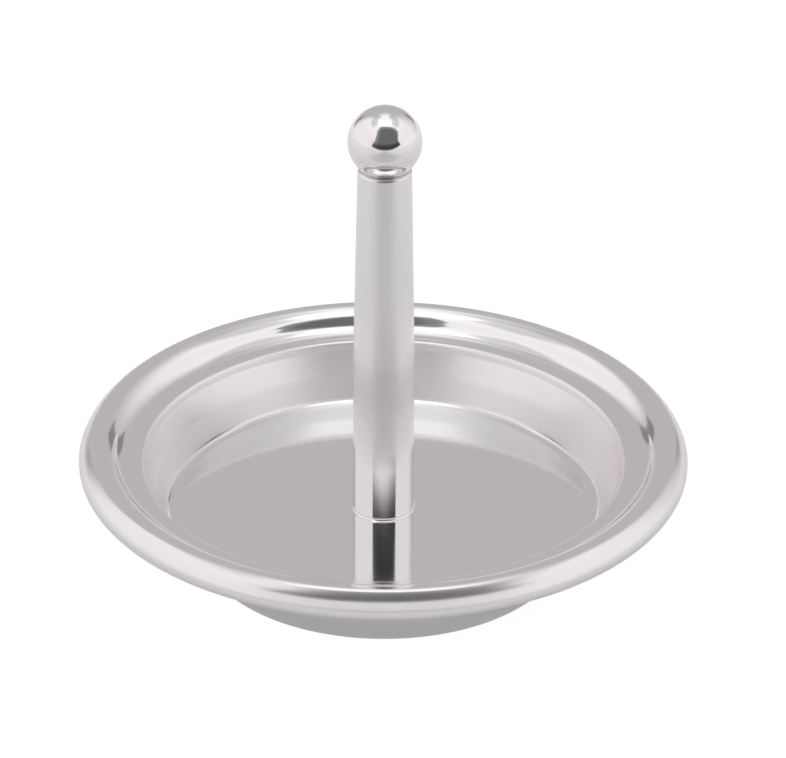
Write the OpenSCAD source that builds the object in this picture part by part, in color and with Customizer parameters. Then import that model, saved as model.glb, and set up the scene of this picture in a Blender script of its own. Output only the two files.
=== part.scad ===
// Ring dish: a round metal dish on a low foot ring, with a post and a ball in the middle.
// Z is up, and the origin is the centre of the foot ring's lower face. All sizes are in mm.
// The dish is one pressed sheet of even thickness, drawn from the curves of its upper face.

/* [Dish] */
// Outer diameter of the dish
dish_d = 100; // [92:1:130]
// Thickness of the dish's sheet
sheet_t = 1.2; // [0.8:0.1:1.3]
// Depth of the well, from the ledge down to its floor
well_depth = 9.5; // [7:0.1:20]
// Lean of the well's wall from upright, in degrees
wall_lean = 25; // [2:1:30]
// Radius of the curve that lifts the floor's edge
floor_edge_r = 2.6; // [1:0.1:4]
// Angle that this curve lifts by, up to the crease below the wall
floor_edge_lift = 36; // [10:1:50]

/* [Rim] */
// Radius of the turned-under lower edge of the lip
lip_turn_r = 2; // [1.4:0.1:3]
// Radius of the lip's outer face
lip_face_r = 4.5; // [3:0.1:8]
// Radius of the crest, on its outer side
crest_r = 1.4; // [1.4:0.1:3]
// Radius of the shoulder just inside the crest
shoulder_r = 4.2; // [2:0.1:5.5]
// Steepest slope between the shoulder and the ledge, in degrees
slope_angle = 52; // [20:1:60]
// Length of the straight stretch of that slope
slope_l = 0.2; // [0.2:0.1:2]
// Radius of the hollow where the slope meets the ledge
cove_r = 3.8; // [1:0.1:4.5]
// Width of the flat ledge round the well
ledge_w = 0.8; // [0.2:0.05:3]
// Radius of the edge where the ledge turns down into the well
ledge_edge_r = 0.8; // [0.4:0.1:2.5]

/* [Foot ring] */
// Outer diameter of the foot ring
foot_d = 60.4; // [44:0.2:62]
// Height of the foot ring
foot_h = 6.2; // [4.6:0.1:12]
// Wall of the foot ring
foot_wall = 1.6; // [1.2:0.1:3]
// Width of the flange that is soldered under the dish
foot_flange_w = 4; // [2.5:0.1:8]
// Thickness of that flange
foot_flange_t = 1.2; // [0.8:0.1:2]
// Rounding of the foot ring's lower edges
foot_round = 0.5; // [0.2:0.1:0.6]

/* [Post] */
// Diameter of the post's straight lower part
post_d = 10; // [8:0.1:14]
// Diameter of the post just below its rounded top edge
post_top_d = 8.8; // [7:0.1:10]
// Height of the post above the well's floor
post_h = 62.3; // [45:0.1:80]
// Height of the straight lower part, above the well's floor
post_straight_h = 28; // [22:0.1:35]
// Radius of the fillet at the post's foot
post_fillet = 0.5; // [0.2:0.1:1.5]
// Rounding of the post's top edge
post_top_round = 0.45; // [0.2:0.05:0.9]

/* [Ball] */
// Diameter of the ball
ball_d = 12; // [10:0.1:16]
// Height cut off the ball's underside for its seat
ball_seat = 1.15; // [0.4:0.05:1.2]

/* [Fasteners] */
// Diameter of the post screw's thread
screw_d = 4; // [3:0.5:5]
// Length of the post screw below its head
screw_l = 14; // [10:0.5:18]
// Diameter of the screw's head
screw_head_d = 7.6; // [6:0.1:9]
// Height of the screw's head
screw_head_h = 2.4; // [1.8:0.1:3]
// Size across the flats of the hexagon socket
socket_af = 2.5; // [2:0.5:3]
// Depth of the hexagon socket
socket_depth = 1.4; // [1:0.1:1.6]
// Outer diameter of the washer
washer_d = 9; // [8:0.5:12]
// Thickness of the washer
washer_t = 0.8; // [0.5:0.1:1.5]
// Diameter of the stud that joins the ball to the post
stud_d = 3; // [2:0.5:4]
// Length of the stud
stud_l = 11; // [9:0.5:13]
// Length of the stud that sits in the post
stud_in_post = 6; // [4:0.5:7]

/* [Fits] */
// Gap round a thread in its tapped hole
thread_gap = 0.05; // [0.05:0.05:0.1]
// Gap round the screw in the dish and the washer
hole_gap = 0.15; // [0.1:0.05:0.3]
// Space left past the tip of a screw or stud
tip_gap = 0.5; // [0.3:0.1:1]

/* [Hidden] */

METAL = [0.78, 0.77, 0.77];
STEEL = [0.62, 0.62, 0.63];

// Directions of the outward normal where one arc of the lip gives way to the next, in degrees
LIP_END = -45;
TURN_TO_FACE = 18;
FACE_TO_CREST = 54;
UP = 90;
// Angle between the points of an arc, in degrees
ARC_STEP = 5;
// Least radius of a bend on the sheet's inner side
INNER_BEND = 0.2;
// Facets of the turned solids, which are rebuilt as true curves
ROUND = 96;
// Overlap of a cut past the face that it goes through
CUT = 1;

floor_z = foot_h + sheet_t;
ledge_z = floor_z + well_depth;
slope_normal = UP + slope_angle;
wall_normal = 180 - wall_lean;

// Centres of the arcs of the upper face, from the lip inwards
crest_z = ledge_z + (shoulder_r + cove_r) * (1 - cos(slope_angle)) + slope_l * sin(slope_angle);
lip_mid_z = crest_z - crest_r * (1 - sin(FACE_TO_CREST))
    - lip_face_r * (sin(FACE_TO_CREST) - sin(TURN_TO_FACE)) - lip_turn_r * sin(TURN_TO_FACE);
turn_c = [dish_d / 2 - lip_turn_r, lip_mid_z];
face_c = turn_c + (lip_turn_r - lip_face_r) * polar(TURN_TO_FACE);
crest_c = face_c + (lip_face_r - crest_r) * polar(FACE_TO_CREST);
shoulder_c = crest_c + (crest_r - shoulder_r) * polar(UP);
cove_c = shoulder_c + (shoulder_r + cove_r) * polar(slope_normal) + slope_l * polar(slope_normal + UP);
// Where the ledge and the wall would meet without a rounded edge
edge_reach = tan((UP - wall_lean) / 2);
edge_point = [cove_c[0] - ledge_w - ledge_edge_r * edge_reach, ledge_z];
crease_rise = floor_edge_r * (1 - cos(floor_edge_lift));
crease = [edge_point[0] - (well_depth - crease_rise) * tan(wall_lean), floor_z + crease_rise];
lift_start = 180 + UP + floor_edge_lift;
floor_edge_c = crease - floor_edge_r * polar(lift_start);

screw_hole_r = screw_d / 2 + hole_gap;
washer_z = foot_h - washer_t;
post_top_z = floor_z + post_h;
ball_z = post_top_z + ball_d / 2 - ball_seat;

function polar(a) = [cos(a), sin(a)];

// Points on an arc, from angle a to angle b
function arc(c, r, a, b) =
    let (steps = max(2, ceil(abs(b - a) / ARC_STEP)))
    [for (i = [0:steps]) c + r * polar(a + (b - a) * i / steps)];

// The edge between the ledge and the wall, a distance t below the upper face
function edge_arc(t) =
    let (r = max(ledge_edge_r - t, INNER_BEND))
    arc([edge_point[0] + (t + r) * edge_reach, ledge_z - t - r], r, UP, wall_normal);

// One face of the sheet, a distance t below its upper face, from the lip to the floor
function sheet_line(t) = concat(
    arc(turn_c, lip_turn_r - t, LIP_END, TURN_TO_FACE),
    arc(face_c, lip_face_r - t, TURN_TO_FACE, FACE_TO_CREST),
    arc(crest_c, crest_r - t, FACE_TO_CREST, UP),
    arc(shoulder_c, shoulder_r - t, UP, slope_normal),
    arc(cove_c, cove_r + t, slope_normal + 180, UP + 180),
    edge_arc(t),
    arc(crease, t, wall_normal + 180, lift_start),
    arc(floor_edge_c, floor_edge_r + t, lift_start, UP + 180));

function reversed(list) = [for (i = [len(list) - 1:-1:0]) list[i]];

// The points of a list with the repeats between one arc and the next left out
function without_repeats(list) =
    [for (i = [0:len(list) - 1]) if (i == 0 || norm(list[i] - list[i - 1]) > 0.001) list[i]];

// A pressed sheet with its screw hole
module dish() {
    color(METAL)
    rotate_extrude($fn = ROUND)
    polygon(concat(
        without_repeats(sheet_line(0)),
        [[screw_hole_r, floor_z], [screw_hole_r, floor_z - sheet_t]],
        reversed(without_repeats(sheet_line(sheet_t)))));
}

// A ring with a flange turned inwards at the top, flat under the dish
module foot_ring() {
    outer = foot_d / 2;
    inner = outer - foot_wall;
    color(METAL)
    rotate_extrude($fn = ROUND)
    polygon(concat(
        arc([outer - foot_round, foot_round], foot_round, 0, -UP),
        arc([inner + foot_round, foot_round], foot_round, -UP, -180),
        [[inner, foot_h - foot_flange_t],
         [outer - foot_flange_w, foot_h - foot_flange_t],
         [outer - foot_flange_w, foot_h],
         [outer, foot_h]]));
}

// A turned post with a tapped hole in each end
module ring_post() {
    base = post_d / 2;
    top = post_top_d / 2;
    screw_room = screw_l - sheet_t - washer_t + tip_gap;
    color(METAL)
    difference() {
        rotate_extrude($fn = ROUND)
        polygon(concat(
            [[0, floor_z]],
            arc([base + post_fillet, floor_z + post_fillet], post_fillet, -UP, -180),
            [[base, floor_z + post_straight_h]],
            arc([top - post_top_round, post_top_z - post_top_round], post_top_round, 0, UP),
            [[0, post_top_z]]));
        translate([0, 0, floor_z - CUT])
        cylinder(r = screw_d / 2 + thread_gap, h = screw_room + CUT, $fn = ROUND);
        translate([0, 0, post_top_z - stud_in_post])
        cylinder(r = stud_d / 2 + thread_gap, h = stud_in_post + CUT, $fn = ROUND);
    }
}

// A ball with a flat seat and a tapped hole below
module ball_finial() {
    color(METAL)
    difference() {
        translate([0, 0, ball_z])
        sphere(d = ball_d, $fn = ROUND);
        translate([0, 0, post_top_z - ball_d])
        cylinder(d = 2 * ball_d, h = ball_d, $fn = ROUND);
        translate([0, 0, post_top_z - CUT])
        cylinder(r = stud_d / 2 + thread_gap, h = stud_l - stud_in_post + tip_gap + CUT, $fn = ROUND);
    }
}

// The stud stands on the floor of the post's upper hole
module finial_stud() {
    color(STEEL)
    translate([0, 0, post_top_z - stud_in_post])
    cylinder(d = stud_d, h = stud_l, $fn = ROUND);
}

// The screw comes up through the washer and the dish into the post
module post_screw() {
    color(STEEL)
    difference() {
        union() {
            translate([0, 0, washer_z - screw_head_h])
            cylinder(d = screw_head_d, h = screw_head_h, $fn = ROUND);
            translate([0, 0, washer_z])
            cylinder(d = screw_d, h = screw_l, $fn = ROUND);
        }
        translate([0, 0, washer_z - screw_head_h - CUT])
        cylinder(d = socket_af / cos(30), h = socket_depth + CUT, $fn = 6);
    }
}

// A flat washer between the screw's head and the dish
module washer() {
    color(STEEL)
    translate([0, 0, washer_z])
    difference() {
        cylinder(d = washer_d, h = washer_t, $fn = ROUND);
        translate([0, 0, -CUT])
        cylinder(r = screw_hole_r, h = washer_t + 2 * CUT, $fn = ROUND);
    }
}

dish();
foot_ring();
ring_post();
ball_finial();
finial_stud();
post_screw();
washer();
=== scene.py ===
"""A polished metal ring dish: dish, foot ring, post and ball, with the fasteners that hold them."""

import math

import bmesh
import bpy
from bpy.props import FloatProperty, FloatVectorProperty, IntProperty, PointerProperty
from mathutils import Matrix, Vector


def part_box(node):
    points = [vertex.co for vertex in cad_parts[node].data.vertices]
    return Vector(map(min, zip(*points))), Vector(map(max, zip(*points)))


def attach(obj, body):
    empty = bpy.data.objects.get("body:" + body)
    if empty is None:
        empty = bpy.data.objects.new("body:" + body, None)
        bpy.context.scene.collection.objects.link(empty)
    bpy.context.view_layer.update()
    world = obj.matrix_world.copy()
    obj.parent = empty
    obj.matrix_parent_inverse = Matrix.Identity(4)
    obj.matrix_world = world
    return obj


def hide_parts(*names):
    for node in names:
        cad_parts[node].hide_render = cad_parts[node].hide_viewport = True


bl_info = {
    "name": "Ring Dish",
    "version": (1, 0, 0),
    "blender": (4, 5, 0),
    "location": "3D View > Sidebar > Ring Dish",
    "description": "Builds a polished ring dish and the soft-lit stage around it",
    "category": "Object",
}

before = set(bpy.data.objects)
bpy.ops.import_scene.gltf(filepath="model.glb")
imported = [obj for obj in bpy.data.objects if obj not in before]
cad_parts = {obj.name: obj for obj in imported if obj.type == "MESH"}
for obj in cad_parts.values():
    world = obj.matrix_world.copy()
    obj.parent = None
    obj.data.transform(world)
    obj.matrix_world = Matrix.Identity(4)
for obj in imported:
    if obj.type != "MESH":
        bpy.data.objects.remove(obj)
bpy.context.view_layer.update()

MM = 0.001
BODY = "root"

# The photograph's width, and the column in which the dish's axis stands, in pixels
PHOTO_WIDTH = 786
AXIS_COLUMN = 383.7
# Degrees between the points of an arc, and the length past which a straight run gets its own points
ARC_STEP = 3.0
LONG_RUN = 0.5 * MM
# Distance from the ends of a straight run to its first points, and the spacing of those between
RUN_END = 0.06 * MM
RUN_STEP = 2.5 * MM
# Edges that bend more than this stay sharp
SHARP_ANGLE = math.radians(24)
# Distance at which the seam and the poles of a turned piece close
WELD = 0.0004 * MM


def low_high(node, axis):
    """A CAD node's lowest and highest coordinate along one axis."""
    low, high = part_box(node)
    return low[axis], high[axis]


DISH_RADIUS = low_high("dish", 0)[1]
CREST_HEIGHT = low_high("dish", 2)[1]
FOOT_RADIUS = low_high("foot_ring", 0)[1]
FOOT_HEIGHT = low_high("foot_ring", 2)[1]
FLOOR_HEIGHT, POST_TOP = low_high("ring_post", 2)
BALL_TOP = low_high("ball_finial", 2)[1]


# Node trees


class Wire:
    """An output socket that can stand in a sum: each operator adds the Math node for it."""

    def __init__(self, tree, socket):
        self.tree = tree
        self.socket = socket

    @classmethod
    def node(cls, tree, kind, settings=None, inputs=None, output=0):
        """Adds a node, sets it up, fills its inputs and gives back one of its outputs."""
        made = tree.nodes.new(kind)
        for key, value in (settings or {}).items():
            if key == "stops":
                fill_ramp(made.color_ramp, value)
            else:
                setattr(made, key, value)
        for key, value in (inputs or {}).items():
            plug(tree, made.inputs[key], value)
        return cls(tree, made.outputs[output])

    def math(self, operation, *others):
        """A Math node on this value and others, in that order."""
        return self.calculated(operation, self, *others)

    def calculated(self, operation, *values):
        inputs = dict(enumerate(values))
        return Wire.node(self.tree, "ShaderNodeMath", {"operation": operation}, inputs)

    def __add__(self, other):
        return self.math("ADD", other)

    __radd__ = __add__

    def __sub__(self, other):
        return self.math("SUBTRACT", other)

    def __rsub__(self, other):
        return self.calculated("SUBTRACT", other, self)

    def __mul__(self, other):
        return self.math("MULTIPLY", other)

    __rmul__ = __mul__

    def __truediv__(self, other):
        return self.math("DIVIDE", other)

    def __rtruediv__(self, other):
        return self.calculated("DIVIDE", other, self)

    def __neg__(self):
        return self.math("MULTIPLY", -1.0)

    def ramped(self, start, end, low=0.0, high=1.0):
        """A soft step from low to high while this value goes from start to end."""
        inputs = {"Value": self, "From Min": start, "From Max": end, "To Min": low, "To Max": high}
        return Wire.node(self.tree, "ShaderNodeMapRange", {"interpolation_type": "SMOOTHSTEP"}, inputs)

    def near(self, centre, inner, outer):
        """1 up to an inner distance from a centre, and 0 past the outer one."""
        return (self - centre).math("ABSOLUTE").ramped(outer, inner)


def plug(tree, socket, value):
    if isinstance(value, Wire):
        tree.links.new(value.socket, socket)
    else:
        socket.default_value = value


def fill_ramp(ramp, stops):
    """Gives a colour ramp its (place, grey) stops."""
    while len(ramp.elements) < len(stops):
        ramp.elements.new(1.0)
    for element, (place, grey) in zip(ramp.elements, stops):
        element.position = place
        element.color = (grey, grey, grey, 1.0)


def split(tree, vector):
    """The three numbers of a vector."""
    parts = Wire.node(tree, "ShaderNodeSeparateXYZ", inputs={"Vector": vector})
    node = parts.socket.node
    return [Wire(tree, node.outputs[axis]) for axis in "XYZ"]


def combined(tree, x, y, z):
    """A vector from its three numbers."""
    return Wire.node(tree, "ShaderNodeCombineXYZ", inputs={"X": x, "Y": y, "Z": z})


# Outlines and turned pieces


def polar(centre, radius, degrees):
    """The point at a distance and an angle in degrees from a centre, in (radius, height)."""
    turn = math.radians(degrees)
    return (centre[0] + radius * math.cos(turn), centre[1] + radius * math.sin(turn))


def arc(centre, radius, start, end):
    steps = max(2, math.ceil(abs(end - start) / ARC_STEP))
    return [polar(centre, radius, start + (end - start) * i / steps) for i in range(steps + 1)]


def eased(points, closed):
    """The outline with its repeats left out and its straight runs given points near their ends."""
    pairs = list(zip(points, points[1:] + points[:1] if closed else points[1:]))
    result = []
    for start, end in pairs:
        (r0, z0), (r1, z1) = start[:2], end[:2]
        run = math.hypot(r1 - r0, z1 - z0)
        if run < 2 * WELD:
            continue
        places = [0.0]
        if run > LONG_RUN:
            inner = max(1, math.ceil((run - 2 * RUN_END) / RUN_STEP))
            places += [(RUN_END + (run - 2 * RUN_END) * i / inner) / run for i in range(inner + 1)]
        result += [(r0 + (r1 - r0) * t, z0 + (z1 - z0) * t, *start[2:]) for t in places]
    if not closed:
        result.append(points[-1])
    return result


def turning_tree():
    """Geometry Nodes that turn an outline about the Z axis, its flagged points as a hexagon."""
    tree = bpy.data.node_groups.new("turned_outline", "GeometryNodeTree")
    sockets = {
        name: tree.interface.new_socket(name, in_out="INPUT", socket_type=kind)
        for name, kind in (
            ("Outline", "NodeSocketGeometry"),
            ("Steps", "NodeSocketInt"),
            ("Rows", "NodeSocketInt"),
            ("Sharp Angle", "NodeSocketFloat"),
            ("Finish", "NodeSocketMaterial"),
        )
    }
    tree.interface.new_socket("Piece", in_out="OUTPUT", socket_type="NodeSocketGeometry")
    given = tree.nodes.new("NodeGroupInput")
    outline, steps, rows, sharp, finish = (Wire(tree, given.outputs[name]) for name in sockets)

    size = {"Size X": 1.0, "Size Y": 1.0, "Vertices X": steps + 1, "Vertices Y": rows}
    grid = Wire.node(tree, "GeometryNodeMeshGrid", inputs=size)
    position = Wire.node(tree, "GeometryNodeInputPosition")
    across, along, _ = split(tree, position)
    counted = Wire.node(tree, "GeometryNodeAttributeDomainSize", inputs={"Geometry": outline})
    row = ((along + 0.5) * (rows - 1)).math("ROUND").math("MODULO", counted)
    sample = {"Geometry": outline, "Value": position, "Index": row}
    point = Wire.node(tree, "GeometryNodeSampleIndex", {"data_type": "FLOAT_VECTOR"}, sample)
    radius, hexed, height = split(tree, point)
    turn = (across + 0.5) * math.tau
    from_flat = (turn + math.pi / 6).math("PINGPONG", math.pi / 3) - math.pi / 6
    to_flat = 1.0 / from_flat.math("COSINE")
    radius = radius * (1.0 + hexed * (to_flat - 1.0))
    spun = combined(tree, radius * turn.math("COSINE"), radius * turn.math("SINE"), height)
    body = Wire.node(tree, "GeometryNodeSetPosition", inputs={"Geometry": grid, "Position": spun})
    body = Wire.node(tree, "GeometryNodeMergeByDistance", inputs={"Geometry": body, "Distance": WELD})
    body = Wire.node(tree, "GeometryNodeSetShadeSmooth", inputs={"Geometry": body, "Shade Smooth": True})
    bend = Wire.node(tree, "GeometryNodeInputMeshEdgeAngle")
    body = Wire.node(
        tree,
        "GeometryNodeSetShadeSmooth",
        {"domain": "EDGE"},
        {"Geometry": body, "Selection": bend.math("GREATER_THAN", sharp), "Shade Smooth": False},
    )
    body = Wire.node(tree, "GeometryNodeRealizeInstances", inputs={"Geometry": body})
    body = Wire.node(tree, "GeometryNodeSetMaterial", inputs={"Geometry": body, "Material": finish})
    plug(tree, tree.nodes.new("NodeGroupOutput").inputs["Piece"], body)
    return tree, {name: socket.identifier for name, socket in sockets.items()}


def turned(name, points, closed, steps, material):
    """A turned piece as a plain mesh, with its faces pointing outwards."""
    points = eased(points, closed)
    outline = bpy.data.meshes.new(name + "_outline")
    outline.from_pydata([(r, flag[0] if flag else 0.0, z) for r, z, *flag in points], [], [])
    holder = bpy.data.objects.new(name + "_outline", outline)
    bpy.context.scene.collection.objects.link(holder)
    tree, keys = turning_tree()
    modifier = holder.modifiers.new("turned", "NODES")
    modifier.node_group = tree
    modifier[keys["Steps"]] = steps
    modifier[keys["Rows"]] = len(points) + (1 if closed else 0)
    modifier[keys["Sharp Angle"]] = SHARP_ANGLE
    modifier[keys["Finish"]] = material
    bpy.context.view_layer.update()
    depsgraph = bpy.context.evaluated_depsgraph_get()
    mesh = bpy.data.meshes.new_from_object(holder.evaluated_get(depsgraph))
    bpy.data.objects.remove(holder)
    bpy.data.node_groups.remove(tree)
    return settled(name, mesh)


def settled(name, mesh):
    """An object at the origin for a finished mesh, with its normals recalculated."""
    shell = bmesh.new()
    shell.from_mesh(mesh)
    bmesh.ops.recalc_face_normals(shell, faces=shell.faces)
    shell.to_mesh(mesh)
    shell.free()
    mesh.name = name
    piece = bpy.data.objects.new(name, mesh)
    bpy.context.scene.collection.objects.link(piece)
    return piece


def hand_over(piece, node):
    """Hands a finished piece over to the frame in place of a CAD node."""
    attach(piece, BODY)
    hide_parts(node)


# Finishes


# Scales of the handling haze, the orange peel and the turning marks, per metre
HAZE_SCALE, PEEL_SCALE, MARK_SCALE = 45.0, 900.0, 9000.0
# Haze below which the plate is clearest, and above which it is most blurred
HAZE_RANGE = (0.35, 0.75)
# Height of the orange peel, in metres
PEEL_HEIGHT = 8e-7
# Heights above the floor between which the post turns from bright to satin, and the share of its blur
# that is left below them
POST_BRIGHT = (8 * MM, 16 * MM)
POST_BRIGHT_BLUR = 0.2
# Heights above the floor between which the well's wall turns satin
WALL_START = (0.3 * MM, 1.2 * MM)
# Depths below the crest between which it turns satin, from the ledge downwards
WALL_END = (3.6 * MM, 4.6 * MM)
# Heights above the floor between which the wall's satin grows coarser downwards, and by how much
WALL_COARSE = (5.0 * MM, 3.5 * MM)
WALL_COARSE_BLUR = 1.6
# Distances from the rim's outer edge between which the lip's satin begins
LIP_START = (2.6 * MM, 1.6 * MM)
# Radius of the edge between ledge and wall, and how far the worn strip reaches to its sides
LEDGE_EDGE = 39.5 * MM
LEDGE_WEAR = (0.25 * MM, 0.45 * MM)
# Heights between which the worn strip begins, and its extra blur
LEDGE_LOW = (15.0 * MM, 15.5 * MM)
LEDGE_BLUR = 0.3
# How much more blurred the foot ring is than the dish
FOOT_BLUR = 1.5


def emptied(material):
    """The material's node tree, switched on and with nothing in it."""
    material.use_nodes = True
    material.node_tree.nodes.clear()
    return material.node_tree


def plate(name, tint, roughness, haze_blur, mark_height, satin=0.0, bright_foot=False):
    """Polished plate with turning marks, orange peel and handling haze.

    The dish's wall and lip can be satin, and the post's foot brighter than the rest.
    """
    material = bpy.data.materials.new(name)
    tree = emptied(material)
    spot = Wire.node(tree, "ShaderNodeTexCoord", output="Object")
    x, y, z = split(tree, spot)
    radius = (x * x + y * y).math("SQRT")
    haze = noise(tree, spot, HAZE_SCALE, 3.0)
    peel = noise(tree, spot, PEEL_SCALE, 1.0)
    marks = Wire.node(
        tree,
        "ShaderNodeTexNoise",
        {"noise_dimensions": "2D"},
        {
            "Vector": combined(tree, radius * MARK_SCALE, z * MARK_SCALE, 0.0),
            "Scale": 1.0,
            "Detail": 2.0,
            "Roughness": 0.6,
        },
    )
    rough = haze.ramped(*HAZE_RANGE, roughness, roughness * haze_blur)
    if bright_foot:
        low, high = (FLOOR_HEIGHT + above for above in POST_BRIGHT)
        rough = rough * z.ramped(low, high, POST_BRIGHT_BLUR, 1.0)
    if satin:
        above_floor = z.ramped(*(FLOOR_HEIGHT + above for above in WALL_START))
        below_ledge = z.ramped(*(CREST_HEIGHT - below for below in WALL_END))
        lip = radius.ramped(*(DISH_RADIUS - inside for inside in LIP_START))
        coarse = z.ramped(*(FLOOR_HEIGHT + above for above in WALL_COARSE), 1.0, WALL_COARSE_BLUR)
        rough = rough + (above_floor * below_ledge * (1.0 - lip) * coarse + lip) * satin
        rough = rough + radius.near(LEDGE_EDGE, *LEDGE_WEAR) * z.ramped(*LEDGE_LOW) * LEDGE_BLUR
    relief = {"Strength": 1.0, "Distance": 1.0, "Height": marks * mark_height + peel * PEEL_HEIGHT}
    bump = Wire.node(tree, "ShaderNodeBump", inputs=relief)
    shader = Wire.node(
        tree,
        "ShaderNodeBsdfPrincipled",
        inputs={"Base Color": (*tint, 1.0), "Metallic": 1.0, "Roughness": rough, "Normal": bump},
    )
    plug(tree, tree.nodes.new("ShaderNodeOutputMaterial").inputs["Surface"], shader)
    return material


def noise(tree, spot, scale, detail):
    inputs = {"Vector": spot, "Scale": scale, "Detail": detail, "Roughness": 0.55}
    return Wire.node(tree, "ShaderNodeTexNoise", inputs=inputs)


def finishes():
    """The materials, made once."""
    looks = bpy.context.scene.ring_dish_finish
    made = bpy.data.materials
    if "dish_plate_polish" not in made:
        tint, blur = looks.plate, looks.dish_roughness
        plate("dish_plate_polish", tint, blur, haze_blur=1.6, mark_height=1.5e-7, satin=looks.wall_satin)
        plate("foot_plate_polish", tint, blur * FOOT_BLUR, haze_blur=1.6, mark_height=6e-7)
        post_blur = looks.post_roughness
        plate("post_plate_polish", tint, post_blur, haze_blur=1.25, mark_height=8e-7, bright_foot=True)
        plate("ball_plate_polish", tint, blur, haze_blur=1.5, mark_height=2e-7)
        plate("fastener_steel", looks.steel, looks.steel_roughness, haze_blur=1.5, mark_height=2e-6)
    return {
        "dish": made["dish_plate_polish"],
        "foot": made["foot_plate_polish"],
        "post": made["post_plate_polish"],
        "ball": made["ball_plate_polish"],
        "steel": made["fastener_steel"],
    }


# Sizes and colours


def length(name, description, default):
    return FloatProperty(name=name, description=description, default=default, unit="LENGTH", precision=5)


def angle(name, description, default):
    turn = math.radians(default)
    return FloatProperty(name=name, description=description, default=turn, subtype="ANGLE")


def blurring(name, description, default):
    return FloatProperty(name=name, description=description, default=default, min=0, max=1)


def colour(name, description, default):
    kind = {"subtype": "COLOR", "min": 0, "max": 1}
    return FloatVectorProperty(name=name, description=description, default=default, **kind)


def count(name, description, default, least, most):
    return IntProperty(name=name, description=description, default=default, min=least, max=most)


class RingDishSizes(bpy.types.PropertyGroup):
    """Sizes of the dish, its rim and its foot."""

    sheet: length("Sheet", "Thickness of the dish's sheet", 1.2 * MM)
    well_depth: length("Well depth", "From the ledge down to the floor", 9.5 * MM)
    wall_lean: angle("Wall lean", "Lean of the well's wall from upright", 25)
    floor_edge: length("Floor edge", "Radius of the curve that lifts the floor's edge", 2.6 * MM)
    floor_lift: angle("Floor lift", "Angle of that curve, up to the crease below the wall", 36)
    lip_turn: length("Lip turn", "Radius of the lip's turned-under edge", 2.0 * MM)
    lip_face: length("Lip face", "Radius of the lip's outer face", 4.5 * MM)
    crest: length("Crest", "Radius of the crest's outer side", 1.4 * MM)
    shoulder: length("Shoulder", "Radius of the shoulder inside the crest", 4.2 * MM)
    slope: angle("Slope", "Steepest slope between the shoulder and the ledge", 52)
    slope_length: length("Slope length", "Straight stretch of that slope", 0.2 * MM)
    cove: length("Cove", "Radius of the hollow above the ledge", 3.8 * MM)
    ledge: length("Ledge", "Width of the flat ledge", 0.8 * MM)
    ledge_edge: length("Ledge edge", "Radius where the ledge turns down into the well", 0.8 * MM)
    inner_bend: length("Inner bend", "Least radius of a bend on the sheet's inner side", 0.2 * MM)
    screw_hole: length("Screw hole", "Radius of the hole under the post", 2.15 * MM)
    foot_wall: length("Foot wall", "Wall of the foot ring", 1.6 * MM)
    foot_flange: length("Foot flange", "Width of the flange under the dish", 4.0 * MM)
    foot_flange_sheet: length("Flange sheet", "Thickness of that flange", 1.2 * MM)
    foot_edge: length("Foot edge", "Rounding of the foot ring's lower edges", 0.5 * MM)
    steps: count("Steps", "Faces round the dish", 280, 48, 360)


class RingPostSizes(bpy.types.PropertyGroup):
    """Sizes of the post and the ball."""

    radius: length("Radius", "Radius of the post's straight part", 5.0 * MM)
    top_radius: length("Top radius", "Radius just below the rounded top edge", 4.4 * MM)
    straight: length("Straight part", "Height of the straight part above the floor", 28.0 * MM)
    fillet: length("Fillet", "Radius of the fillet at the post's foot", 0.5 * MM)
    top_round: length("Top rounding", "Rounding of the post's top edge", 0.45 * MM)
    ball_radius: length("Ball radius", "Radius of the ball", 6.0 * MM)
    screw_hole: length("Screw hole", "Radius of the tapped hole from below", 2.05 * MM)
    screw_depth: length("Screw depth", "Depth of the tapped hole from below", 12.5 * MM)
    stud_hole: length("Stud hole", "Radius of the tapped holes for the stud", 1.55 * MM)
    stud_depth: length("Stud depth", "Depth of the stud's hole in the post", 6.0 * MM)
    ball_hole: length("Ball hole", "Depth of the stud's hole in the ball", 5.5 * MM)
    steps: count("Steps", "Faces round the post", 160, 32, 256)


class RingFastenerSizes(bpy.types.PropertyGroup):
    """Sizes of the screw, the stud and the washer."""

    screw_radius: length("Screw radius", "Radius over the screw's thread", 2.0 * MM)
    screw_pitch: length("Screw pitch", "Pitch of the screw's thread", 0.7 * MM)
    head_height: length("Head height", "Height of the screw's head", 2.4 * MM)
    head_bevel: length("Head bevel", "Bevel round the screw's head", 0.35 * MM)
    socket: length("Socket", "From the axis to a flat of the hexagon socket", 1.25 * MM)
    socket_depth: length("Socket depth", "Depth of the hexagon socket", 1.4 * MM)
    stud_pitch: length("Stud pitch", "Pitch of the stud's thread", 0.5 * MM)
    washer_hole: length("Washer hole", "Radius of the washer's hole", 2.15 * MM)
    washer_bevel: length("Washer bevel", "Bevel of the washer's edges", 0.12 * MM)
    steps: count("Steps", "Faces round a fastener, a multiple of 12", 72, 24, 144)


class RingDishFinish(bpy.types.PropertyGroup):
    """Colours and roughness of the metals."""

    plate: colour("Plate", "Colour of the polished plate", (0.85, 0.838, 0.838))
    steel: colour("Steel", "Colour of the fasteners", (0.62, 0.62, 0.63))
    dish_roughness: blurring("Dish roughness", "Blur of the dish's reflections", 0.06)
    wall_satin: blurring("Wall satin", "Extra blur of the well's wall and the lip", 0.18)
    post_roughness: blurring("Post roughness", "Blur of the post's reflections", 0.26)
    steel_roughness: blurring("Steel roughness", "Blur of the fasteners' reflections", 0.3)


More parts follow.
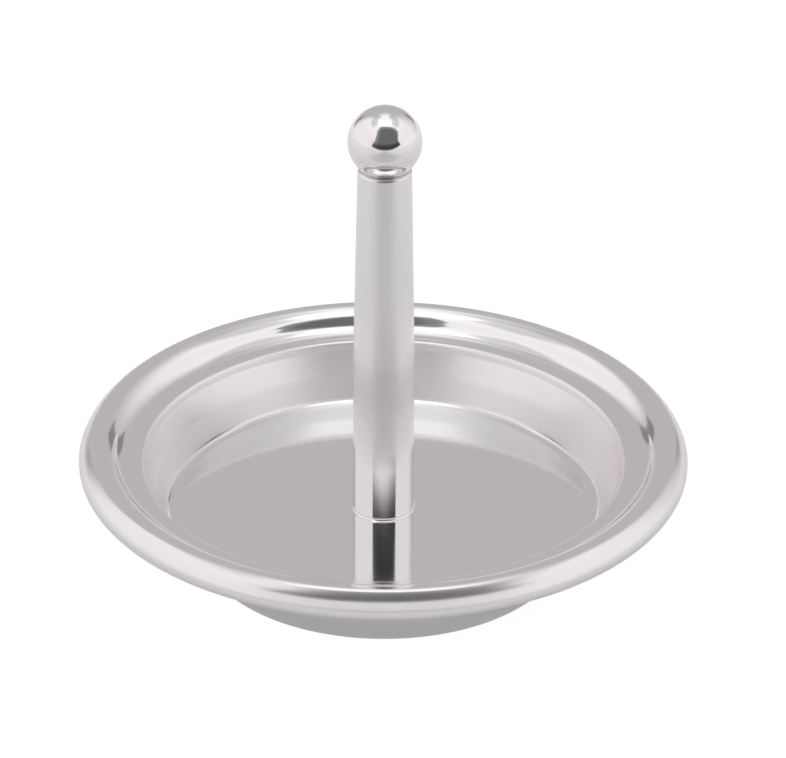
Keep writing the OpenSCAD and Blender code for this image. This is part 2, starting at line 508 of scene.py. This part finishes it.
class RingDishStage(bpy.types.PropertyGroup):
    """Camera and light of the stage."""

    distance: length("Camera distance", "From the lens to the point it looks at", 0.9)
    elevation: angle("Camera elevation", "Height of the lens as an angle", 28.93)
    opening: length("Opening", "From the dish's axis to the tent's dark opening", 0.13)
    roll: angle("Camera roll", "Turn of the camera about its own view", 0.3)
    aim: length("Aim height", "Height of the point the lens looks at", 0.03137)
    focal: FloatProperty(
        name="Focal pixels", description="Focal length in the photograph's pixels", default=5517
    )


# Pieces


# Directions of the outward normal at the lip's end and where one arc gives way to the next, in degrees
LIP_END, TURN_TO_FACE, FACE_TO_CREST, UP, DOWN = -45, 18, 54, 90, 270


def sheet_line(sizes, depth):
    """One face of the dish's sheet, from the lip to the floor, a depth below its upper face."""
    slope = math.degrees(sizes.slope)
    lean = math.degrees(sizes.wall_lean)
    slope_normal, wall_normal = UP + slope, 180 - lean
    floor = FLOOR_HEIGHT
    ledge = floor + sizes.well_depth

    turn = (DISH_RADIUS - sizes.lip_turn, 0.0)
    face = polar(turn, sizes.lip_turn - sizes.lip_face, TURN_TO_FACE)
    crest = polar(face, sizes.lip_face - sizes.crest, FACE_TO_CREST)
    lift = CREST_HEIGHT - crest[1] - sizes.crest
    turn, face, crest = ((r, z + lift) for r, z in (turn, face, crest))
    shoulder = polar(crest, sizes.crest - sizes.shoulder, UP)
    cove = polar(shoulder, sizes.shoulder + sizes.cove, slope_normal)
    cove = polar(cove, sizes.slope_length, slope_normal + UP)
    reach = math.tan(math.radians((90 - lean) / 2))
    edge = cove[0] - sizes.ledge - sizes.ledge_edge * reach
    bend = max(sizes.ledge_edge - depth, sizes.inner_bend)
    crease_turn = DOWN + math.degrees(sizes.floor_lift)
    rise = sizes.floor_edge * (1 - math.cos(sizes.floor_lift))
    crease = (edge - (sizes.well_depth - rise) * math.tan(sizes.wall_lean), floor + rise)
    floor_edge = polar(crease, -sizes.floor_edge, crease_turn)
    return (
        arc(turn, sizes.lip_turn - depth, LIP_END, TURN_TO_FACE)
        + arc(face, sizes.lip_face - depth, TURN_TO_FACE, FACE_TO_CREST)
        + arc(crest, sizes.crest - depth, FACE_TO_CREST, UP)
        + arc(shoulder, sizes.shoulder - depth, UP, slope_normal)
        + arc(cove, sizes.cove + depth, slope_normal + 180, DOWN)
        + arc((edge + (depth + bend) * reach, ledge - depth - bend), bend, UP, wall_normal)
        + arc(crease, depth, wall_normal + 180, crease_turn)
        + arc(floor_edge, sizes.floor_edge + depth, crease_turn, DOWN)
    )


class RINGDISH_OT_dish(bpy.types.Operator):
    """Turn the dish from its sheet's outline"""

    bl_idname = "ringdish.dish"
    bl_label = "Dish"

    def execute(self, context):
        sizes = context.scene.ring_dish
        upper = sheet_line(sizes, 0.0)
        lower = sheet_line(sizes, sizes.sheet)
        middle = ((upper[0][0] + lower[0][0]) / 2, (upper[0][1] + lower[0][1]) / 2)
        hole = [(sizes.screw_hole, FLOOR_HEIGHT), (sizes.screw_hole, FLOOR_HEIGHT - sizes.sheet)]
        lip = arc(middle, sizes.sheet / 2, LIP_END - 180, LIP_END)
        points = upper + hole + lower[::-1] + lip[1:-1]
        piece = turned("dish_shell", points, True, sizes.steps, finishes()["dish"])
        hand_over(piece, "dish")
        return {"FINISHED"}


class RINGDISH_OT_foot(bpy.types.Operator):
    """Turn the foot ring with its soldered flange"""

    bl_idname = "ringdish.foot"
    bl_label = "Foot ring"

    def execute(self, context):
        sizes = context.scene.ring_dish
        outer, edge = FOOT_RADIUS, sizes.foot_edge
        inner = outer - sizes.foot_wall
        under = FOOT_HEIGHT - sizes.foot_flange_sheet
        points = (
            arc((outer - edge, edge), edge, 0, -90)
            + arc((inner + edge, edge), edge, -90, -180)
            + [(inner, under), (outer - sizes.foot_flange, under), (outer - sizes.foot_flange, FOOT_HEIGHT)]
            + [(outer, FOOT_HEIGHT)]
        )
        piece = turned("foot_band", points, True, sizes.steps, finishes()["foot"])
        hand_over(piece, "foot_ring")
        return {"FINISHED"}


class RINGDISH_OT_post(bpy.types.Operator):
    """Turn the post with its rounded top and its two tapped holes"""

    bl_idname = "ringdish.post"
    bl_label = "Post"

    def execute(self, context):
        sizes = context.scene.ring_post
        base, top, fillet, edge = sizes.radius, sizes.top_radius, sizes.fillet, sizes.top_round
        points = (
            [(0.0, FLOOR_HEIGHT + sizes.screw_depth), (sizes.screw_hole, FLOOR_HEIGHT + sizes.screw_depth)]
            + [(sizes.screw_hole, FLOOR_HEIGHT)]
            + arc((base + fillet, FLOOR_HEIGHT + fillet), fillet, -90, -180)
            + [(base, FLOOR_HEIGHT + sizes.straight)]
            + arc((top - edge, POST_TOP - edge), edge, 0, 90)
            + [(sizes.stud_hole, POST_TOP), (sizes.stud_hole, POST_TOP - sizes.stud_depth)]
            + [(0.0, POST_TOP - sizes.stud_depth)]
        )
        piece = turned("post_shaft", points, False, sizes.steps, finishes()["post"])
        hand_over(piece, "ring_post")
        return {"FINISHED"}


class RINGDISH_OT_ball(bpy.types.Operator):
    """Turn the ball with its flat seat and its tapped hole"""

    bl_idname = "ringdish.ball"
    bl_label = "Ball"

    def execute(self, context):
        sizes = context.scene.ring_post
        radius = sizes.ball_radius
        centre = (0.0, BALL_TOP - radius)
        seat = math.degrees(math.asin((POST_TOP - centre[1]) / radius))
        points = (
            arc(centre, radius, 90, seat)
            + [(sizes.stud_hole, POST_TOP), (sizes.stud_hole, POST_TOP + sizes.ball_hole)]
            + [(0.0, POST_TOP + sizes.ball_hole)]
        )
        piece = turned("ball_knob", points, False, sizes.steps, finishes()["ball"])
        hand_over(piece, "ball_finial")
        return {"FINISHED"}


# Depth of a thread, and where its crest begins and ends, as shares of the pitch
THREAD_DEPTH, CREST_START, CREST_END = 0.61, 0.44, 0.56
# Chamfer at the start of a thread, as a share of the pitch
THREAD_CHAMFER = 0.2
# Plain stretch under the screw's head
SCREW_SHANK = 0.6 * MM


def threaded(radius, low, high, pitch):
    """The side of a threaded rod from its lower to its upper end."""
    root = radius - THREAD_DEPTH * pitch
    turns = int((high - low - pitch) / pitch)
    start = low + (high - low - turns * pitch) / 2
    chamfer = THREAD_CHAMFER * pitch
    points = [(root, low), (root + chamfer, low + chamfer)]
    for turn in range(turns):
        foot = start + turn * pitch
        points += [(root, foot), (radius, foot + CREST_START * pitch), (radius, foot + CREST_END * pitch)]
    return points + [(root, start + turns * pitch), (root, high)]


class RINGDISH_OT_screw(bpy.types.Operator):
    """Turn the post screw with its thread and its hexagon socket"""

    bl_idname = "ringdish.screw"
    bl_label = "Post screw"

    def execute(self, context):
        sizes = context.scene.ring_fasteners
        low, high = low_high("post_screw", 2)
        head, bevel, flat = low_high("post_screw", 0)[1], sizes.head_bevel, sizes.socket
        neck = low + sizes.head_height
        shank = neck + SCREW_SHANK
        points = (
            [(0.0, low + sizes.socket_depth), (flat, low + sizes.socket_depth, 1.0), (flat, low, 1.0)]
            + [(head - bevel, low), (head, low + bevel)]
            + [(head, neck - bevel / 2), (head - bevel / 2, neck)]
            + [(sizes.screw_radius, neck), (sizes.screw_radius, shank)]
            + threaded(sizes.screw_radius, shank, high, sizes.screw_pitch)
            + [(0.0, high)]
        )
        piece = turned("screw_body", points, False, sizes.steps, finishes()["steel"])
        hand_over(piece, "post_screw")
        return {"FINISHED"}


class RINGDISH_OT_stud(bpy.types.Operator):
    """Turn the threaded stud between the post and the ball"""

    bl_idname = "ringdish.stud"
    bl_label = "Stud"

    def execute(self, context):
        sizes = context.scene.ring_fasteners
        low, high = low_high("finial_stud", 2)
        side = threaded(low_high("finial_stud", 0)[1], low, high, sizes.stud_pitch)
        points = [(0.0, low)] + side + [(0.0, high)]
        piece = turned("stud_thread", points, False, sizes.steps, finishes()["steel"])
        hand_over(piece, "finial_stud")
        return {"FINISHED"}


class RINGDISH_OT_washer(bpy.types.Operator):
    """Turn the washer with bevelled edges"""

    bl_idname = "ringdish.washer"
    bl_label = "Washer"

    def execute(self, context):
        sizes = context.scene.ring_fasteners
        low, high = low_high("washer", 2)
        outer, hole, bevel = low_high("washer", 0)[1], sizes.washer_hole, sizes.washer_bevel
        points = [(hole, low + bevel), (hole + bevel, low), (outer - bevel, low), (outer, low + bevel)]
        points += [(outer, high - bevel), (outer - bevel, high), (hole + bevel, high), (hole, high - bevel)]
        piece = turned("washer_ring", points, True, sizes.steps, finishes()["steel"])
        hand_over(piece, "washer")
        return {"FINISHED"}


# Stage


# The tent by height, as (share of a right angle, grey): behind the dish, and round its other sides
BACK_GREYS = ((0.0, 0.53), (0.5, 0.54), (0.58, 0.6), (0.66, 0.84), (0.74, 1.06), (0.82, 1.12))
SIDE_GREYS = ((0.0, 0.96), (0.3, 0.96), (0.47, 1.0), (0.6, 1.03), (0.75, 1.1), (0.82, 1.35))
# Angles below are in degrees: round the tent from the camera's side towards +X, or up from the floor
BACK_FROM_LEFT = (-122.0, -144.0)
BACK_FROM_RIGHT = (105.0, 155.0)
# The table's edge in front: height, ends to the left and right, and darkening
TABLE_TOP, TABLE_LEFT, TABLE_RIGHT = (30.0, 22.0), (-64.0, -18.0), (64.0, 18.0)
TABLE_SHADE = 0.2
# The darker seam between walls and roof: lower and upper edge, front and back end, and darkening
SEAM_LOW, SEAM_TOP, SEAM_FRONT, SEAM_BACK = (50.0, 58.0), (74.0, 70.0), (62.0, 84.0), (165.0, 150.0)
SEAM_SHADE = 0.32
# The two uprights behind the tent: their places, half widths, top edge and darkening
UPRIGHTS, UPRIGHT_WIDTH, UPRIGHT_TOP = (149.0, -143.0), (3.0, 5.5), (22.0, 16.0)
UPRIGHT_SHADE = 0.5
# The lower part of the tent is slightly rosy: heights between which that fades, and its strength
ROSY_TOP = (62.0, 44.0)
ROSY = 0.022


def light_tent(world):
    """The white walls and roof of a light tent, drawn by direction."""
    tree = emptied(world)
    toward = Wire.node(tree, "ShaderNodeTexCoord", output="Generated")
    x, y, z = split(tree, toward)
    height = z.math("ARCSINE") * math.degrees(1)
    side = x.math("ARCTAN2", -y) * math.degrees(1)

    back = Wire.node(tree, "ShaderNodeValToRGB", {"stops": BACK_GREYS}, {"Fac": height / 90.0})
    flank = Wire.node(tree, "ShaderNodeValToRGB", {"stops": SIDE_GREYS}, {"Fac": height / 90.0})
    behind = side.ramped(*BACK_FROM_LEFT) + side.ramped(*BACK_FROM_RIGHT)
    wall = behind * back + (1.0 - behind) * flank
    table = height.ramped(*TABLE_TOP) * side.ramped(*TABLE_LEFT) * side.ramped(*TABLE_RIGHT)
    far = side.math("ABSOLUTE")
    seam = height.ramped(*SEAM_LOW) * height.ramped(*SEAM_TOP)
    seam = seam * far.ramped(*SEAM_FRONT) * far.ramped(*SEAM_BACK)
    left, right = (side.near(place, *UPRIGHT_WIDTH) for place in UPRIGHTS)
    upright = (left + right) * height.ramped(*UPRIGHT_TOP)
    glow = wall * (1.0 - table * TABLE_SHADE) * (1.0 - seam * SEAM_SHADE) * (1.0 - upright * UPRIGHT_SHADE)

    rosy = height.ramped(*ROSY_TOP) * ROSY
    tinted = combined(tree, glow * (1.0 + rosy), glow * (1.0 - rosy), glow * (1.0 + rosy * 0.1))
    seen = Wire.node(tree, "ShaderNodeLightPath", output="Is Camera Ray")
    light = Wire.node(tree, "ShaderNodeBackground", inputs={"Color": tinted, "Strength": 1.0})
    white = Wire.node(tree, "ShaderNodeBackground", inputs={"Color": (1, 1, 1, 1), "Strength": 1.0})
    both = Wire.node(tree, "ShaderNodeMixShader", inputs={0: seen, 1: light, 2: white})
    plug(tree, tree.nodes.new("ShaderNodeOutputWorld").inputs["Surface"], both)


# Where painted shade darkens the paper towards the opening: along Y, and from its left and right
PAINTED_SHADE_FRONT, PAINTED_SHADE_LEFT, PAINTED_SHADE_RIGHT = (-0.086, -0.1), (-0.2, -0.04), (0.2, 0.04)


def paper(tree, grey, glow, shade=0.0):
    """Matt paper with a painted glow that stands in for light from beneath, darkened by painted shade
    towards the tent's opening if asked for.
    """
    x, y, _ = split(tree, Wire.node(tree, "ShaderNodeTexCoord", output="Object"))
    # Painted shade: the paper's grey and its glow darken near the tent's opening
    painted_shade_level = 1.0 - y.ramped(*PAINTED_SHADE_FRONT) * x.ramped(*PAINTED_SHADE_LEFT) * x.ramped(*PAINTED_SHADE_RIGHT) * shade
    tone = combined(tree, *[painted_shade_level * grey] * 3)
    lit = combined(tree, *[painted_shade_level * glow] * 3)
    matt = Wire.node(tree, "ShaderNodeBsdfDiffuse", inputs={"Color": tone, "Roughness": 1.0})
    light = Wire.node(tree, "ShaderNodeEmission", inputs={"Color": lit, "Strength": 1.0})
    return Wire.node(tree, "ShaderNodeAddShader", inputs={0: matt, 1: light})


# The panel that carries the tent's opening: its lower and upper edge and half its width
PANEL_LOW, PANEL_HIGH, PANEL_HALF = 0.05, 0.6, 0.24
# The opening widens below: heights between which it does, and by how much to the left and right
WIDER_BELOW, WIDER_LEFT, WIDER_RIGHT = (0.16, 0.09), 0.022, 0.045
# It also leans outwards with height: the heights of that, and how far, on the left and right
LEAN_LEFT, LEAN_LEFT_BY = (0.2, 0.32), 0.02
LEAN_RIGHT, LEAN_RIGHT_BY = (0.085, 0.43), 0.135
# Soft edges of the opening: left, right, lower and upper
EDGE_LEFT, EDGE_RIGHT, EDGE_LOW, EDGE_HIGH = (-0.092, -0.082), (0.12, 0.106), (0.071, 0.08), (0.6, 0.45)
# Rise of the lower edge towards both sides, per metre
BOWL = 1.6
# The darkest strip along the lower edge: where it begins and fades out, and its share of black
STRIP_LOW, STRIP_HIGH = (0.076, 0.083), (0.13, 0.094)
STRIP_BLACK = 0.7
# Grey of the opening, and what its left side, its right side and its top add to that
INSIDE = 0.16
INSIDE_LEFT, INSIDE_LEFT_BY = (-0.04, -0.08), 0.12
INSIDE_RIGHT, INSIDE_RIGHT_BY = (0.13, 0.19), 0.1
INSIDE_TOP, INSIDE_TOP_BY = (0.3, 0.5), 0.15


def opening_material():
    """The tent's dark opening, by its place on the panel, clear to the camera and past its edges."""
    material = bpy.data.materials.new("tent_opening")
    tree = emptied(material)
    x, _, z = split(tree, Wire.node(tree, "ShaderNodeTexCoord", output="Object"))
    wider = z.ramped(*WIDER_BELOW)
    left = (x + z.ramped(*LEAN_LEFT) * LEAN_LEFT_BY + wider * WIDER_LEFT).ramped(*EDGE_LEFT)
    right = (x - z.ramped(*LEAN_RIGHT) * LEAN_RIGHT_BY - wider * WIDER_RIGHT).ramped(*EDGE_RIGHT)
    bowl = z - x * x * BOWL
    shape = left * right * bowl.ramped(*EDGE_LOW) * z.ramped(*EDGE_HIGH)
    strip = bowl.ramped(*STRIP_LOW) * bowl.ramped(*STRIP_HIGH)
    inside = INSIDE + x.ramped(*INSIDE_LEFT) * INSIDE_LEFT_BY
    inside = inside + x.ramped(*INSIDE_RIGHT) * INSIDE_RIGHT_BY + z.ramped(*INSIDE_TOP) * INSIDE_TOP_BY
    shade = combined(tree, *[inside * (1.0 - strip * STRIP_BLACK)] * 3)
    seen = Wire.node(tree, "ShaderNodeLightPath", output="Is Camera Ray")
    light = Wire.node(tree, "ShaderNodeEmission", inputs={"Color": shade, "Strength": 1.0})
    clear = Wire.node(tree, "ShaderNodeBsdfTransparent")
    both = Wire.node(tree, "ShaderNodeMixShader", inputs={0: shape * (1.0 - seen), 1: clear, 2: light})
    plug(tree, tree.nodes.new("ShaderNodeOutputMaterial").inputs["Surface"], both)
    return material


# The sweep's grey, painted glow and painted shade towards the opening as the metal mirrors it, and its grey
# and glow to the camera
SWEEP_IN_METAL, SWEEP_TO_CAMERA = (0.78, 0.18, 0.22), (0.2, 0.92)


def floor_material():
    """White sweep: lit by the tent, with a painted glow and painted shade where the metal mirrors it, and
    white to the camera apart from a faint shadow.
    """
    material = bpy.data.materials.new("white_sweep")
    tree = emptied(material)
    seen = Wire.node(tree, "ShaderNodeLightPath", output="Is Camera Ray")
    papers = {0: seen, 1: paper(tree, *SWEEP_IN_METAL), 2: paper(tree, *SWEEP_TO_CAMERA)}
    both = Wire.node(tree, "ShaderNodeMixShader", inputs=papers)
    plug(tree, tree.nodes.new("ShaderNodeOutputMaterial").inputs["Surface"], both)
    return material


def sheet(name, corners, material):
    """A flat sheet of the stage."""
    mesh = bpy.data.meshes.new(name)
    mesh.from_pydata(corners, [], [(0, 1, 2, 3)])
    mesh.materials.append(material)
    made = bpy.data.objects.new(name, mesh)
    bpy.context.scene.collection.objects.link(made)


# Half the width of the floor, and how far it lies below the foot ring
FLOOR_REACH, FLOOR_DROP = 3.0, 0.02 * MM


class RINGDISH_OT_stage(bpy.types.Operator):
    """Set up the floor, the light tent and the camera"""

    bl_idname = "ringdish.stage"
    bl_label = "Stage"

    def execute(self, context):
        scene = context.scene
        stage = scene.ring_dish_stage
        square = ((-1, -1), (1, -1), (1, 1), (-1, 1))
        corners = [(x * FLOOR_REACH, y * FLOOR_REACH, -FLOOR_DROP) for x, y in square]
        sheet("floor", corners, floor_material())
        heights = {-1: PANEL_LOW, 1: PANEL_HIGH}
        corners = [(x * PANEL_HALF, -stage.opening, heights[y]) for x, y in square]
        sheet("tent_opening", corners, opening_material())

        scene.world = bpy.data.worlds.new("light_tent")
        light_tent(scene.world)

        lens = bpy.data.cameras.new("camera")
        lens.sensor_width = 36.0
        lens.lens = stage.focal / PHOTO_WIDTH * lens.sensor_width
        lens.shift_x = (PHOTO_WIDTH / 2 - AXIS_COLUMN) / PHOTO_WIDTH
        lens.clip_start = 0.05
        lens.clip_end = 20.0
        camera = bpy.data.objects.new("camera", lens)
        aim = Vector((0.0, 0.0, stage.aim))
        off = Vector((0.0, -math.cos(stage.elevation), math.sin(stage.elevation)))
        turn = off.to_track_quat("Z", "Y").to_matrix().to_4x4() @ Matrix.Rotation(stage.roll, 4, "Z")
        camera.matrix_world = Matrix.Translation(aim + off * stage.distance) @ turn
        scene.collection.objects.link(camera)
        scene.camera = camera
        scene.view_settings.view_transform = "Standard"
        return {"FINISHED"}


class RINGDISH_PT_panel(bpy.types.Panel):
    """Lists what builds the ring dish"""

    bl_idname = "RINGDISH_PT_panel"
    bl_label = "Ring Dish"
    bl_space_type = "VIEW_3D"
    bl_region_type = "UI"
    bl_category = "Ring Dish"

    def draw(self, context):
        for operator in OPERATORS:
            self.layout.operator(operator.bl_idname)


GROUPS = {
    "ring_dish": RingDishSizes,
    "ring_post": RingPostSizes,
    "ring_fasteners": RingFastenerSizes,
    "ring_dish_finish": RingDishFinish,
    "ring_dish_stage": RingDishStage,
}
OPERATORS = (
    RINGDISH_OT_dish,
    RINGDISH_OT_foot,
    RINGDISH_OT_post,
    RINGDISH_OT_ball,
    RINGDISH_OT_screw,
    RINGDISH_OT_stud,
    RINGDISH_OT_washer,
    RINGDISH_OT_stage,
)


def register():
    for group in (*GROUPS.values(), *OPERATORS, RINGDISH_PT_panel):
        bpy.utils.register_class(group)
    for name, group in GROUPS.items():
        setattr(bpy.types.Scene, name, PointerProperty(type=group))


def unregister():
    for name in GROUPS:
        delattr(bpy.types.Scene, name)
    for group in (RINGDISH_PT_panel, *OPERATORS[::-1], *list(GROUPS.values())[::-1]):
        bpy.utils.unregister_class(group)


def main():
    register()
    bpy.ops.ringdish.dish()
    bpy.ops.ringdish.foot()
    bpy.ops.ringdish.post()
    bpy.ops.ringdish.ball()
    bpy.ops.ringdish.screw()
    bpy.ops.ringdish.stud()
    bpy.ops.ringdish.washer()
    bpy.ops.ringdish.stage()


if __name__ == "__main__":
    main()
